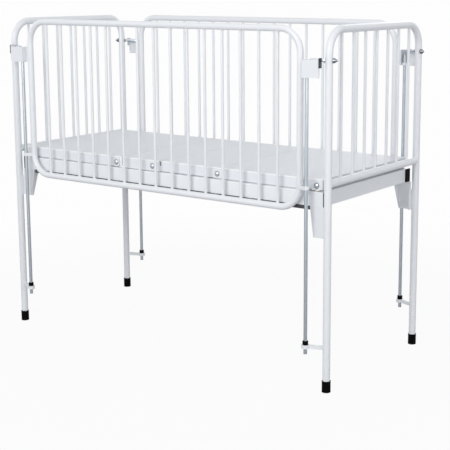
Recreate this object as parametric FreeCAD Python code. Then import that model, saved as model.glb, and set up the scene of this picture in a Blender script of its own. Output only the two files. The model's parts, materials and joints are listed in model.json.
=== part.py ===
import FreeCAD, Part
import math
import os

# Pediatric hospital bed: two tubular end frames, two drop sides on guide rods and a
# four section deck on a rectangular frame. Millimetres, +X to the foot end, +Y to the
# back side, +Z up, origin on the floor under the middle of the bed.
V = FreeCAD.Vector

# Overall layout
bed_height = 1180.0
post_half_length = 698.0
post_half_width = 300.0
post_dia = 25.0
post_wall = 1.5
end_corner_radius = 75.0
cross_tube_z = 684.0

# Vertical bars of the end frames and the drop sides
bar_dia = 10.0
bar_wall = 1.0
end_bar_count = 7
rail_bar_count = 15
rail_first_bar = 85.5

# Rubber foot caps
foot_dia = 29.0
foot_height = 38.0
foot_sole = 4.0

# Guide rods with their lower lugs, bumpers and nuts. The rods stand inward of the posts
# along the bed and outward of them across it.
rod_dia = 12.0
rod_to_post = 66.0
rod_outset = 24.0
rod_end_z = 123.0
rod_top_drop = 107.5
rod_bend_radius = 18.0
rod_neck_dia = 9.0
rod_neck_start = 30.0
rod_thread_length = 9.0
rod_hole_gap = 0.1
lug_bottom_z = 142.0
lug_height = 12.0
lug_eye_radius = 13.0
lug_arm_width = 9.0
bumper_dia = 19.0
bumper_height = 13.0
nut_dia = 16.5
nut_length = 14.5
jam_nut_dia = 15.0
jam_nut_thickness = 4.0

# Drop sides, placed from the guide rods
rail_dia = 22.0
rail_wall = 1.5
rail_to_rod = 32.0
rail_inset = 12.0
rail_bottom_z = 597.0
rail_corner_radius = 75.0

# Collars and latch plates that ride with the drop sides
collar_gap = 0.6
collar_wall = 3.0
collar_height = 12.0
collar_bottom_z = 664.0
latch_ring_height = 9.8
latch_drop = 53.5
latch_height = 56.0
latch_reach_in = 12.0
latch_reach_out = 50.0
latch_gap = 3.5
latch_sheet = 2.0
latch_lip = 4.5
latch_corner_radius = 7.0
latch_tab_height = 29.0
latch_tab_rise = 5.0
latch_tab_depth = 14.0
latch_pad_thickness = 1.5

# Bed frame
frame_end_gap = 10.5
frame_inset = 8.0
frame_top_z = 654.0
frame_height = 47.0
frame_tube_width = 30.0
frame_wall = 2.0
end_member_width = 25.0
end_member_setback = 2.0
crossbar_width = 30.0
crossbar_height = 40.0
crossbar_places = (-150.0, -60.0)
end_cap_flange = 5.0
end_cap_plug = 14.0
end_cap_gap = 0.3
runner_width = 20.0
runner_height = 13.5
runner_wall = 1.5
runner_setback = 4.0
runner_end_gap = 2.0

# Corner brackets between the bed frame and the posts
bracket_bottom_z = 505.0
bracket_sheet = 3.0
bracket_top_run = 72.0
bracket_foot_run = 59.0
bracket_flange = 4.0
bracket_flange_reach = 16.0
bracket_flange_drop = 27.0
bracket_edge_reach = 25.0
bracket_edge_foot = 6.0
bracket_shelf_lift = 20.0
bracket_shelf_depth = 13.0

# Deck trays, placed from the bed frame. Each hinge line lies pivot_lift above the skirts' bottoms.
deck_end_inset = 7.0
deck_side_inset = 8.0
deck_gap = 4.0
deck_height = 36.5
deck_sheet = 1.5
skirt_lip = 12.0
lip_ear_gap = 13.0
pivot_lift = 15.0
back_pivot_x = -207.0
thigh_pivot_x = -38.6
knee_pivot_x = 248.4
calf_bolt_inset = 22.0
calf_relief = 3.0
calf_relief_length = 46.0
back_ear_radius = 17.0
seat_ear_radius = 16.0
arm_radius = 15.0
back_edge_reach = 17.0
seam_gap = 2.5
seat_edge_reach = 33.0
thigh_edge_gap = 2.0
thigh_skirt_setback = 4.0
knee_seam_gap = 2.0
arm_drop = 12.0
ply_gap = 0.5

# Hinge bolts and glides
bolt_dia = 8.0
bolt_running_gap = 0.08
bolt_head_dia = 18.0
bolt_head_height = 5.0
bolt_head_gap = 0.3
bolt_nut_dia = 14.0
bolt_nut_height = 6.0
glide_lift = 0.7
glide_width = 15.0

# Prop bows that hold the back and knee sections up, and their combs
prop_length = 200.0
prop_dia = 12.0
prop_arm_dia = 10.0
prop_arm_inset = 67.0
prop_eye_radius = 7.0
prop_eye_width = 12.0
lug_sheet = 3.0
lug_side_gap = 0.3
prop_pin_dia = 8.0
stiffener_width = 30.0
stiffener_height = 10.0
comb_thickness = 6.0
comb_depth = 31.0
comb_gap = 0.7
comb_notch_radius = 7.0
comb_notch_depth = 5.0
comb_margin = 18.0
back_stages = 5
knee_stages = 2
back_tilt_degrees = 60.0
knee_tilt_degrees = 20.0
rest_pad_gap = 0.3
rest_pad_length = 24.0
rest_pad_width = 18.0
back_pad_inset = 28.0
knee_pad_inset = 33.4

# Worked out from the driving sizes
post_r = post_dia / 2
rail_r = rail_dia / 2
rod_r = rod_dia / 2
neck_r = rod_neck_dia / 2
bar_r = bar_dia / 2
bolt_r = bolt_dia / 2
prop_r = prop_dia / 2
end_top_z = bed_height - post_r
rail_top_z = bed_height - rail_r
end_bar_pitch = 2 * post_half_width / (end_bar_count + 1)
rod_top_z = bed_height - rod_top_drop
latch_bottom_z = rod_top_z - latch_drop
rod_half_length = post_half_length - rod_to_post
rod_plane_y = post_half_width + rod_outset
rail_half_length = rod_half_length - rail_to_rod
rail_plane_y = rod_plane_y - rail_inset
rail_bar_pitch = 2 * (rail_half_length - rail_first_bar) / (rail_bar_count - 1)
latch_left_x = rod_half_length - latch_reach_in
latch_right_x = rod_half_length + latch_reach_out
frame_half_length = post_half_length - post_r - frame_end_gap
frame_half_width = post_half_width - frame_inset
frame_bottom_z = frame_top_z - frame_height
runner_bottom_z = frame_bottom_z - runner_height
bracket_top_x = post_half_length - bracket_top_run
bracket_foot_x = post_half_length - bracket_foot_run
bracket_flange_top_z = frame_bottom_z - bracket_flange_drop
bracket_shelf_z = bracket_bottom_z + bracket_shelf_lift
deck_half_length = frame_half_length - deck_end_inset
skirt_bottom_z = frame_top_z + deck_gap
deck_top_z = skirt_bottom_z + deck_height
deck_under_z = deck_top_z - deck_sheet
pivot_z = skirt_bottom_z + pivot_lift
calf_bolt_x = deck_half_length - calf_bolt_inset
back_pad_x = back_pad_inset - deck_half_length
knee_pad_x = knee_pivot_x - knee_pad_inset
lug_top_z = lug_bottom_z + lug_height
bumper_top_z = lug_top_z + bumper_height
ply = deck_sheet + ply_gap
seat_half_width = frame_half_width - deck_side_inset
back_half_width = seat_half_width + ply
thigh_half_width = seat_half_width - ply
calf_half_width = thigh_half_width + ply + ply_gap
prop_arm_y = frame_half_width - prop_arm_inset
LEFT, RIGHT, FRONT, BACK = -1, 1, -1, 1
ENDS = {"left": LEFT, "right": RIGHT}
SIDES = {"front": FRONT, "back": BACK}


def box(x0, x1, y0, y1, z0, z1):
    """Box between two corners given in any order."""
    x0, x1 = min(x0, x1), max(x0, x1)
    y0, y1 = min(y0, y1), max(y0, y1)
    z0, z1 = min(z0, z1), max(z0, z1)
    return Part.makeBox(x1 - x0, y1 - y0, z1 - z0, V(x0, y0, z0))


def rod(radius, start, end):
    """Round bar from one point to another."""
    way = end - start
    return Part.makeCylinder(radius, way.Length, start, way)


def fuse(shapes):
    """One shape from several that touch or overlap."""
    return shapes[0].multiFuse(shapes[1:]).removeSplitter()


def ring_face(centre, way, radius, wall):
    """Disc across a path, or a ring where the tube has a wall thinner than its radius."""
    face = Part.Face(Part.Wire(Part.makeCircle(radius, centre, way)))
    if wall < radius:
        face = face.cut(Part.Face(Part.Wire(Part.makeCircle(radius - wall, centre, way))))
    return face


def bent_tube(points, radius, wall, bend, closed=False):
    """Round tube along a path of straight runs joined by tangent arcs, open at its ends."""
    count = len(points)
    starts, ends, pieces = {}, {}, []
    corners = range(count) if closed else range(1, count - 1)
    for i in corners:
        here, before, after = points[i], points[i - 1], points[(i + 1) % count]
        way_in = (here - before).normalize()
        way_out = (after - here).normalize()
        turn = way_in.getAngle(way_out)
        cut = bend * math.tan(turn / 2)
        axis = way_in.cross(way_out).normalize()
        starts[i] = here - way_in * cut
        ends[i] = here + way_out * cut
        centre = starts[i] + axis.cross(way_in) * bend
        face = ring_face(starts[i], way_in, radius, wall)
        pieces.append(face.revolve(centre, axis, math.degrees(turn)))
    runs = range(count) if closed else range(count - 1)
    for i in runs:
        start = ends.get(i, points[i])
        end = starts.get((i + 1) % count, points[(i + 1) % count])
        pieces.append(ring_face(start, end - start, radius, wall).extrude(end - start))
    return fuse(pieces)


def box_tube(x0, x1, y0, y1, z0, z1, wall, along):
    """Rectangular tube with open ends along X or Y."""
    outer = box(x0, x1, y0, y1, z0, z1)
    inner = {
        "x": box(x0, x1, y0 + wall, y1 - wall, z0 + wall, z1 - wall),
        "y": box(x0 + wall, x1 - wall, y0, y1, z0 + wall, z1 - wall),
    }[along]
    return outer.cut(inner)


def post_bar(end, side):
    """Filled outline of one post, for coping what meets it."""
    foot = V(end * post_half_length, side * post_half_width, 0)
    return rod(post_r, foot, foot + V(0, 0, end_top_z))


# End frames

def end_path(end):
    """Centre line of an end frame from the front foot over the top to the back foot."""
    x = end * post_half_length
    return [
        V(x, -post_half_width, foot_sole),
        V(x, -post_half_width, end_top_z),
        V(x, post_half_width, end_top_z),
        V(x, post_half_width, foot_sole),
    ]


def end_frame(end):
    """Inverted U tube with the holes that the guide rods pass through."""
    frame = bent_tube(end_path(end), post_r, post_wall, end_corner_radius)
    for side in (FRONT, BACK):
        corner, post = rod_corner(end, side), post_axis_point(end, side)
        way = (post - corner).normalize()
        frame = frame.cut(rod(neck_r + rod_hole_gap, post - way * post_dia, post + way * post_dia))
    return frame


def end_cross_tube(end):
    """Straight tube between the posts at deck level, coped to them."""
    x = end * post_half_length
    start, stop = V(x, -post_half_width, cross_tube_z), V(x, post_half_width, cross_tube_z)
    tube = rod(post_r, start, stop).cut(rod(post_r - post_wall, start, stop))
    return tube.cut(post_bar(end, FRONT)).cut(post_bar(end, BACK))


def end_bars(end):
    """Vertical bars of an end frame, coped to the tubes above and below."""
    x = end * post_half_length
    low = rod(post_r, V(x, -post_half_width, cross_tube_z), V(x, post_half_width, cross_tube_z))
    high = rod(post_r, V(x, -post_half_width, end_top_z), V(x, post_half_width, end_top_z))
    bars = []
    for i in range(end_bar_count):
        y = (i - (end_bar_count - 1) / 2) * end_bar_pitch
        foot, head = V(x, y, cross_tube_z), V(x, y, end_top_z)
        bar = rod(bar_r, foot, head).cut(rod(bar_r - bar_wall, foot, head))
        bars.append(bar.cut(low).cut(high))
    return Part.makeCompound(bars)


def foot_cap(end, side):
    """Rubber cap round the foot of a post."""
    foot = V(end * post_half_length, side * post_half_width, 0)
    cap = rod(foot_dia / 2, foot, foot + V(0, 0, foot_height))
    rims = [e for e in cap.Edges if e.Curve.TypeId == "Part::GeomCircle"]
    cap = cap.makeChamfer(1.0, rims)
    return cap.cut(rod(post_r, foot + V(0, 0, foot_sole), foot + V(0, 0, foot_height)))


# Guide rods

def rod_corner(end, side):
    """Corner of a guide rod's centre line, where it turns to the post."""
    return V(end * rod_half_length, side * rod_plane_y, rod_top_z)


def post_axis_point(end, side):
    """Point of the post's axis that the guide rod passes through."""
    return V(end * post_half_length, side * post_half_width, rod_top_z)


def rod_way(end, side):
    """Direction of the rod's top stretch, from its corner to the post."""
    return (post_axis_point(end, side) - rod_corner(end, side)).normalize()


def guide_rod(end, side):
    """Vertical rod, bent over at the top, with a thinner neck that passes through the post."""
    corner, post, way = rod_corner(end, side), post_axis_point(end, side), rod_way(end, side)
    foot = V(corner.x, corner.y, rod_end_z)
    shoulder = corner + way * rod_neck_start
    body = bent_tube([foot, corner, shoulder], rod_r, rod_r, rod_bend_radius)
    neck = rod(neck_r, shoulder, post + way * (post_r + rod_thread_length))
    return fuse([body, neck])


def cone_nut(end, side):
    """Pointed cap nut on the outer side of the post."""
    post, way = post_axis_point(end, side), rod_way(end, side)
    base = post + way * post_r
    skirt = Part.makeCylinder(nut_dia / 2, nut_length / 3, base, way)
    cone = Part.makeCone(nut_dia / 2, nut_dia / 8, nut_length * 2 / 3, base + way * (nut_length / 3), way)
    nut = fuse([skirt, cone])
    bore = rod(neck_r, post, post + way * (post_r + rod_thread_length))
    return nut.cut(bore)


def jam_nut(end, side):
    """Nut on the rod against the inner side of the post."""
    post, way = post_axis_point(end, side), rod_way(end, side)
    base = post - way * (post_r + jam_nut_thickness)
    hexagon = Part.makePolygon([
        V(math.cos(math.radians(60 * i)), math.sin(math.radians(60 * i)), 0) * (jam_nut_dia / 2)
        for i in range(7)
    ])
    hexagon.Placement = FreeCAD.Placement(base, FreeCAD.Rotation(V(0, 0, 1), way))
    nut = Part.Face(hexagon).extrude(way * jam_nut_thickness)
    return nut.cut(rod(neck_r, base - way, post))


def rod_lug(end, side):
    """Eye round the guide rod with an arm welded to the leg."""
    eye = V(end * rod_half_length, side * rod_plane_y, lug_bottom_z)
    leg = V(end * post_half_length, side * post_half_width, lug_bottom_z)
    up = V(0, 0, lug_height)
    ring = rod(lug_eye_radius, eye, eye + up)
    way = (leg - eye).normalize()
    across = way.cross(V(0, 0, 1)) * (lug_arm_width / 2)
    outline = Part.makePolygon([eye + across, leg + across, leg - across, eye - across, eye + across])
    arm = Part.Face(outline).extrude(up)
    lug = fuse([ring, arm]).cut(post_bar(end, side))
    return lug.cut(rod(rod_r, eye - up, eye + up * 2))


def bumper(end, side):
    """Rubber ring on the lug that stops the drop side."""
    base = V(end * rod_half_length, side * rod_plane_y, lug_top_z)
    ring = rod(bumper_dia / 2, base, base + V(0, 0, bumper_height))
    rims = [e for e in ring.Edges if e.Curve.TypeId == "Part::GeomCircle"]
    ring = ring.makeFillet(1.5, rims)
    return ring.cut(rod(rod_r, base - V(0, 0, 1), base + V(0, 0, bumper_height + 1)))


# Drop sides

def rail_path(side):
    """Closed centre line of a drop side's tube."""
    y = side * rail_plane_y
    return [
        V(-rail_half_length, y, rail_bottom_z),
        V(rail_half_length, y, rail_bottom_z),
        V(rail_half_length, y, rail_top_z),
        V(-rail_half_length, y, rail_top_z),
    ]


def rail_loop(side):
    """Closed loop of tube with four round corners."""
    return bent_tube(rail_path(side), rail_r, rail_wall, rail_corner_radius, closed=True)


def rail_bars(side):
    """Vertical bars of a drop side, coped to its top and bottom tubes."""
    y = side * rail_plane_y
    tubes = [
        rod(rail_r, V(-rail_half_length, y, z), V(rail_half_length, y, z))
        for z in (rail_bottom_z, rail_top_z)
    ]
    bars = []
    for i in range(rail_bar_count):
        x = (i - (rail_bar_count - 1) / 2) * rail_bar_pitch
        foot, head = V(x, y, rail_bottom_z), V(x, y, rail_top_z)
        bar = rod(bar_r, foot, head).cut(rod(bar_r - bar_wall, foot, head))
        bars.append(bar.cut(tubes[0]).cut(tubes[1]))
    return Part.makeCompound(bars)


def rail_upright(end, side):
    """Filled outline of a drop side's end tube, for coping what meets it."""
    foot = V(end * rail_half_length, side * rail_plane_y, rail_bottom_z)
    return rod(rail_r, foot, V(foot.x, foot.y, rail_top_z))


def collar(end, side, bottom, height):
    """Strap round the guide rod, welded to the upright of the drop side."""
    centre = V(end * rod_half_length, side * rod_plane_y, bottom)
    tube = V(end * rail_half_length, side * rail_plane_y, bottom)
    up = V(0, 0, height)
    hole_r = rod_r + collar_gap
    way = (tube - centre).normalize()
    across = way.cross(V(0, 0, 1)) * (hole_r + collar_wall)
    inset = way.cross(V(0, 0, 1)) * hole_r

    def band(reach):
        corners = [centre + reach, tube + reach, tube - reach, centre - reach, centre + reach]
        return Part.makePolygon(corners)

    web = Part.Face(band(across)).extrude(up)
    slot = band(inset)
    strap = fuse([rod(hole_r + collar_wall, centre, centre + up), web])
    strap = strap.cut(Part.Face(slot).extrude(up)).cut(rod(hole_r, centre, centre + up))
    return strap.cut(rail_upright(end, side))


def latch_plate(end, side):
    """Folded plate in front of the guide rod's bend, with the pad on its tab."""
    z0, z1 = latch_bottom_z, latch_bottom_z + latch_height
    inner = rod_plane_y + rod_r + latch_gap
    outer = inner + latch_sheet
    lip_y = inner - latch_lip
    xl, xr = latch_left_x, latch_right_x
    hole_r = rod_r + collar_gap
    up = V(0, 0, 1)

    def piece(x0, x1, y0, y1, low, high):
        return box(end * x0, end * x1, side * y0, side * y1, low, high)

    face = piece(xl, xr, inner, outer, z0, z1)
    corner = [
        e for e in face.Edges
        if abs(e.Length - latch_sheet) < 0.01
        and e.CenterOfMass.z < z0 + 1 and abs(e.CenterOfMass.x) > xr - 1
    ]
    face = face.makeFillet(latch_corner_radius, corner)
    lip = piece(xl, xr, lip_y, outer, z1 - latch_sheet, z1)
    axis = rod_corner(end, side)
    lip = lip.cut(rod(hole_r, axis - up * latch_height, axis + up * latch_height))
    web = piece(xl, xl + latch_sheet, rail_plane_y, outer, z0, z1)
    strip = piece(rail_half_length, xl + latch_sheet, rail_plane_y, rail_plane_y + latch_sheet, z0, z1)
    edge_lip = piece(xr - latch_sheet, xr, lip_y, outer, z0 + latch_corner_radius, z1)
    tab_top = z1 + latch_tab_rise
    tab_low = tab_top - latch_tab_height
    tab = piece(xr - latch_sheet, xr, outer - latch_tab_depth, outer, tab_low, tab_top)
    floor_y = rod_plane_y - hole_r - collar_wall
    floor = piece(xl, xr - latch_corner_radius, floor_y, outer, z0, z0 + latch_sheet)
    foot = V(axis.x, axis.y, z0)
    ring = rod(hole_r + collar_wall, foot, foot + up * latch_ring_height)
    plate = fuse([face, lip, web, strip, edge_lip, tab, floor, ring])
    plate = plate.cut(rod(hole_r, foot - up, foot + up * (latch_ring_height + 1)))
    pad = piece(xr, xr + latch_pad_thickness, outer - latch_tab_depth, outer, tab_low, tab_top)
    return Part.makeCompound([plate.cut(rail_upright(end, side)), pad])


# Bed frame

def side_tube(side):
    """Long rectangular tube under one edge of the deck."""
    y0, y1 = sorted((side * frame_half_width, side * (frame_half_width - frame_tube_width)))
    reach = frame_half_length
    return box_tube(-reach, reach, y0, y1, frame_bottom_z, frame_top_z, frame_wall, "x")


def end_cap(end, side):
    """Plastic cap that closes the end of a side tube."""
    x = end * frame_half_length
    y0 = side * frame_half_width
    y1 = side * (frame_half_width - frame_tube_width)
    flange = box(x, x + end * end_cap_flange, y0, y1, frame_bottom_z, frame_top_z)
    long_edges = [e for e in flange.Edges if abs(e.CenterOfMass.x - (x + end * end_cap_flange)) < 0.01]
    flange = flange.makeFillet(1.5, long_edges)
    inset = frame_wall + end_cap_gap
    plug = box(x - end * end_cap_plug, x, y0 - side * inset, y1 + side * inset,
               frame_bottom_z + inset, frame_top_z - inset)
    return fuse([flange, plug])


def end_member(end):
    """Rectangular tube across the end of the bed frame."""
    x1 = end * (frame_half_length - end_member_setback)
    x0 = x1 - end * end_member_width
    y = frame_half_width - frame_tube_width
    return box_tube(min(x0, x1), max(x0, x1), -y, y, frame_bottom_z, frame_top_z, frame_wall, "y")


def runners():
    """Rectangular tubes welded along the undersides of the side tubes."""
    reach = bracket_top_x - runner_end_gap
    tubes = []
    for side in (FRONT, BACK):
        y0, y1 = sorted(side * (frame_half_width - runner_setback - d) for d in (0, runner_width))
        tubes.append(box_tube(-reach, reach, y0, y1, runner_bottom_z, frame_bottom_z, runner_wall, "x"))
    return Part.makeCompound(tubes)


def crossbars():
    """Tubes across the bed frame under the fixed seat section."""
    y = frame_half_width - frame_tube_width
    bars = [
        box_tube(x - crossbar_width / 2, x + crossbar_width / 2, -y, y,
                 frame_top_z - crossbar_height, frame_top_z, frame_wall, "y")
        for x in crossbar_places
    ]
    return Part.makeCompound(bars)


def corner_bracket(end, side):
    """Tapered plate under the side tube with a flange on the post and one along its slanted edge."""
    outer = side * frame_half_width
    edge_x = end * (post_half_length - post_r - bracket_flange / 2)
    top = V(end * bracket_top_x, outer, frame_bottom_z)
    foot = V(end * bracket_foot_x, outer, bracket_bottom_z)
    outline = [top, V(edge_x, outer, frame_bottom_z), V(edge_x, outer, bracket_bottom_z), foot]
    plate = Part.Face(Part.makePolygon(outline + outline[:1])).extrude(V(0, -side * bracket_sheet, 0))
    flange = box(edge_x, edge_x + end * bracket_flange, side * post_half_width,
                 outer - side * bracket_flange_reach, bracket_bottom_z, bracket_flange_top_z)
    slant = [
        top, foot, foot - V(0, side * bracket_edge_foot, 0), top - V(0, side * bracket_edge_reach, 0)
    ]
    slant_flange = Part.Face(Part.makePolygon(slant + slant[:1])).extrude(V(end * bracket_sheet, 0, 0))
    shelf = box(end * (bracket_foot_x + 1), edge_x, outer - side * bracket_sheet,
                outer - side * bracket_shelf_depth, bracket_shelf_z, bracket_shelf_z + bracket_sheet)
    return fuse([plate, flange, slant_flange, shelf]).cut(post_bar(end, side))


# Deck trays. skirt() gives both skirts of a tray from one outline in the XZ plane.

def skirt(outline, half_width):
    """Pair of upright plates with one outline, their outer faces at half_width."""
    face = Part.Face(Part.Wire(outline))
    plates = []
    for side in (FRONT, BACK):
        plate = face.copy()
        plate.translate(V(0, side * half_width, 0))
        plates.append(plate.extrude(V(0, -side * deck_sheet, 0)))
    return plates


def edge(x0, z0, x1, z1):
    """Straight edge of a skirt outline."""
    return Part.makeLine(V(x0, 0, z0), V(x1, 0, z1))


def arc(cx, cz, radius, from_deg, to_deg):
    """Arc of a skirt outline about a centre, from the first angle to the second."""
    def at(angle):
        turn = math.radians(angle)
        return V(cx + radius * math.cos(turn), 0, cz + radius * math.sin(turn))
    return Part.Arc(at(from_deg), at((from_deg + to_deg) / 2), at(to_deg)).toShape()


def lips(x0, x1, half_width, bottom=skirt_bottom_z):
    """Inward lips along the bottoms of both skirts."""
    return [
        box(x0, x1, side * half_width, side * (half_width - skirt_lip), bottom, bottom + deck_sheet)
        for side in (FRONT, BACK)
    ]


def tray(x0, x1, half_width, skirt_outline, lip_range, closed_end, end_bottom_z):
    """Pressed sheet tray: top, two skirts with lips, and a flange across its closed end."""
    pieces = [box(x0, x1, -half_width, half_width, deck_under_z, deck_top_z)]
    pieces += skirt(skirt_outline, half_width)
    pieces += lips(lip_range[0], lip_range[1], half_width)
    x = x1 if closed_end == RIGHT else x0
    pieces.append(box(x, x - closed_end * deck_sheet, -half_width, half_width, end_bottom_z, deck_top_z))
    body = fuse(pieces)
    long_edges = [
        e for e in body.Edges
        if abs(e.CenterOfMass.z - deck_top_z) < 0.01 and abs(abs(e.CenterOfMass.y) - half_width) < 0.01
    ]
    return body.makeFillet(deck_sheet * 0.9, long_edges)


def hinge_hole(x, radius):
    """Bar across the whole bed that cuts a bolt's hole in both skirts."""
    reach = post_half_width
    return rod(radius, V(x, -reach, pivot_z), V(x, reach, pivot_z))


def back_tray():
    """Head section that tilts up, with round ears about its hinge bolts."""
    x0, px = -deck_half_length, back_pivot_x
    x1 = px + back_edge_reach
    ear = back_ear_radius
    foot = math.degrees(math.asin((pivot_z - skirt_bottom_z) / ear))
    outline = [
        edge(x0, deck_top_z, x1, deck_top_z),
        edge(x1, deck_top_z, x1, pivot_z),
        arc(px, pivot_z, ear, 0, foot - 180),
        edge(px - ear * math.cos(math.radians(foot)), skirt_bottom_z, x0, skirt_bottom_z),
        edge(x0, skirt_bottom_z, x0, deck_top_z),
    ]
    body = tray(x0, x1, back_half_width, outline, (x0, px - ear - lip_ear_gap), LEFT, skirt_bottom_z)
    return body.cut(hinge_hole(px, bolt_r + bolt_running_gap))


def seat_tray():
    """Fixed section on the side tubes, with ears inside the head section's."""
    px, ax = back_pivot_x, thigh_pivot_x
    x0 = px + back_edge_reach + seam_gap
    x1 = ax + seat_edge_reach
    ear = seat_ear_radius
    neck_x = px + math.hypot(back_edge_reach, deck_top_z - pivot_z) + ply
    neck_z = pivot_z - ear * 0.6
    ear_turn = math.degrees(math.asin((pivot_z - neck_z) / ear))
    foot = px + back_ear_radius + lip_ear_gap
    outline = [
        edge(neck_x, deck_top_z, x1, deck_top_z),
        edge(x1, deck_top_z, x1, frame_top_z),
        edge(x1, frame_top_z, foot, frame_top_z),
        edge(foot, frame_top_z, px, pivot_z - ear),
        arc(px, pivot_z, ear, -90, -ear_turn - 360),
        edge(px + ear * math.cos(math.radians(ear_turn)), neck_z, neck_x, neck_z),
        edge(neck_x, neck_z, neck_x, deck_top_z),
    ]
    body = [box(x0, x1, -seat_half_width, seat_half_width, deck_under_z, deck_top_z)]
    body += skirt(outline, seat_half_width)
    body += lips(foot, x1, seat_half_width, frame_top_z)
    body = fuse(body)
    return body.cut(hinge_hole(px, bolt_r)).cut(hinge_hole(ax, bolt_r))


def thigh_tray():
    """Section that rises at the knee, hinged inside the seat by two arms."""
    ax, kx = thigh_pivot_x, knee_pivot_x
    x0 = ax + seat_edge_reach + thigh_edge_gap
    x1 = kx - knee_seam_gap / 2
    front = x0 + thigh_skirt_setback
    ear = seat_ear_radius
    arm = arm_radius
    foot = math.degrees(math.asin((pivot_z - skirt_bottom_z) / ear))
    drop_z = pivot_z + arm - arm_drop
    outline = [
        edge(front, deck_under_z, x1, deck_under_z),
        edge(x1, deck_under_z, kx, pivot_z + ear),
        arc(kx, pivot_z, ear, 90, -foot),
        edge(kx + ear * math.cos(math.radians(foot)), skirt_bottom_z, ax, pivot_z - arm),
        arc(ax, pivot_z, arm, -90, -270),
        edge(ax, pivot_z + arm, front, drop_z),
        edge(front, drop_z, front, deck_under_z),
    ]
    body = [box(x0, x1, -thigh_half_width, thigh_half_width, deck_under_z, deck_top_z)]
    body += skirt(outline, thigh_half_width)
    body += lips(front + lip_ear_gap, kx - ear - lip_ear_gap, thigh_half_width)
    body = fuse(body)
    return body.cut(hinge_hole(ax, bolt_r + bolt_running_gap)).cut(hinge_hole(kx, bolt_r))


def calf_tray():
    """Foot section, hinged to the thigh section outside its ears."""
    kx, x1 = knee_pivot_x, deck_half_length
    x0 = kx + knee_seam_gap / 2
    ear = back_ear_radius
    relief_x, relief_z = x1 - calf_relief_length, skirt_bottom_z + calf_relief
    foot = math.degrees(math.asin((pivot_z - skirt_bottom_z) / ear))
    outline = [
        edge(kx, pivot_z + ear, x0, deck_top_z),
        edge(x0, deck_top_z, x1, deck_top_z),
        edge(x1, deck_top_z, x1, relief_z),
        edge(x1, relief_z, relief_x, relief_z),
        edge(relief_x, relief_z, relief_x, skirt_bottom_z),
        edge(relief_x, skirt_bottom_z, kx - ear * math.cos(math.radians(foot)), skirt_bottom_z),
        arc(kx, pivot_z, ear, foot - 180, -270),
    ]
    body = tray(x0, x1, calf_half_width, outline, (kx + ear + lip_ear_gap, relief_x), RIGHT, relief_z)
    return body.cut(hinge_hole(kx, bolt_r + bolt_running_gap)).cut(hinge_hole(calf_bolt_x, bolt_r))


def hinge_bolts(x, outer, inner, head_gap, nut_gap):
    """Dome head bolt and nut on each side. outer and inner are the plates' faces."""
    solids = []
    for side in (FRONT, BACK):
        seat = outer + head_gap
        nut_face = inner - nut_gap
        tip = nut_face - bolt_nut_height - 1.5
        cap_r = (bolt_head_dia ** 2 / 4 + bolt_head_height ** 2) / (2 * bolt_head_height)
        dome = Part.makeSphere(cap_r, V(x, side * (seat + bolt_head_height - cap_r), pivot_z))
        room = box(x - bolt_head_dia, x + bolt_head_dia, side * seat, side * (seat + 2 * bolt_head_height),
                   pivot_z - bolt_head_dia, pivot_z + bolt_head_dia)
        shank = rod(bolt_r, V(x, side * tip, pivot_z), V(x, side * seat, pivot_z))
        solids.append(fuse([dome.common(room), shank]))
        hexagon = Part.makePolygon([
            V(x + bolt_nut_dia / 2 * math.cos(math.radians(60 * i)), side * nut_face,
              pivot_z + bolt_nut_dia / 2 * math.sin(math.radians(60 * i)))
            for i in range(7)
        ])
        nut = Part.Face(hexagon).extrude(V(0, -side * bolt_nut_height, 0))
        solids.append(nut.cut(shank))
    return Part.makeCompound(solids)


def glide_radius():
    """Radius of the glides that carry the foot section on the side tubes."""
    return pivot_z - frame_top_z - glide_lift


def calf_glides():
    """Nylon glides on the foot section's end bolts, flat on top to fit under the deck sheet."""
    solids = []
    radius = glide_radius()
    roof = box(calf_bolt_x - radius, calf_bolt_x + radius, -post_half_width, post_half_width,
               deck_under_z - glide_lift, pivot_z + 2 * radius)
    for side in (FRONT, BACK):
        start = V(calf_bolt_x, side * (calf_half_width - deck_sheet), pivot_z)
        end = start - V(0, side * glide_width, 0)
        solids.append(rod(radius, start, end).cut(roof).cut(rod(bolt_r, start, end)))
    return Part.makeCompound(solids)


# Props of the back and knee sections

def stiffener(x, half_width):
    """Flat channel across the underside of a tray, with clevis lugs for the prop bow."""
    z1 = deck_under_z
    z0 = z1 - stiffener_height
    w = stiffener_width / 2
    reach = half_width - 2 * deck_sheet - skirt_lip
    channel = box(x - w, x + w, -reach, reach, z0, z1)
    channel = channel.cut(box(x - w + deck_sheet, x + w - deck_sheet, -reach, reach, z0 + deck_sheet, z1))
    pieces = [channel]
    for side in (FRONT, BACK):
        for face in (prop_arm_y - prop_eye_width / 2 - lug_side_gap - lug_sheet,
                     prop_arm_y + prop_eye_width / 2 + lug_side_gap):
            far = face + lug_sheet
            ear_r = prop_eye_radius + 1
            ear = rod(ear_r, V(x, side * face, pivot_z), V(x, side * far, pivot_z))
            neck = box(x - ear_r, x + ear_r, side * face, side * far, pivot_z, z0)
            pieces.append(fuse([ear, neck]))
    body = fuse(pieces)
    return body.cut(rod(prop_pin_dia / 2, V(x, -half_width, pivot_z), V(x, half_width, pivot_z)))


def prop_pins(x):
    """Two pins that hold the bow in the clevis lugs."""
    reach = V(0, prop_eye_width / 2 + lug_side_gap + lug_sheet + 2, 0)
    middles = [V(x, side * prop_arm_y, pivot_z) for side in (FRONT, BACK)]
    pins = [rod(prop_pin_dia / 2, middle - reach, middle + reach) for middle in middles]
    return Part.makeCompound(pins)


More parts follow.
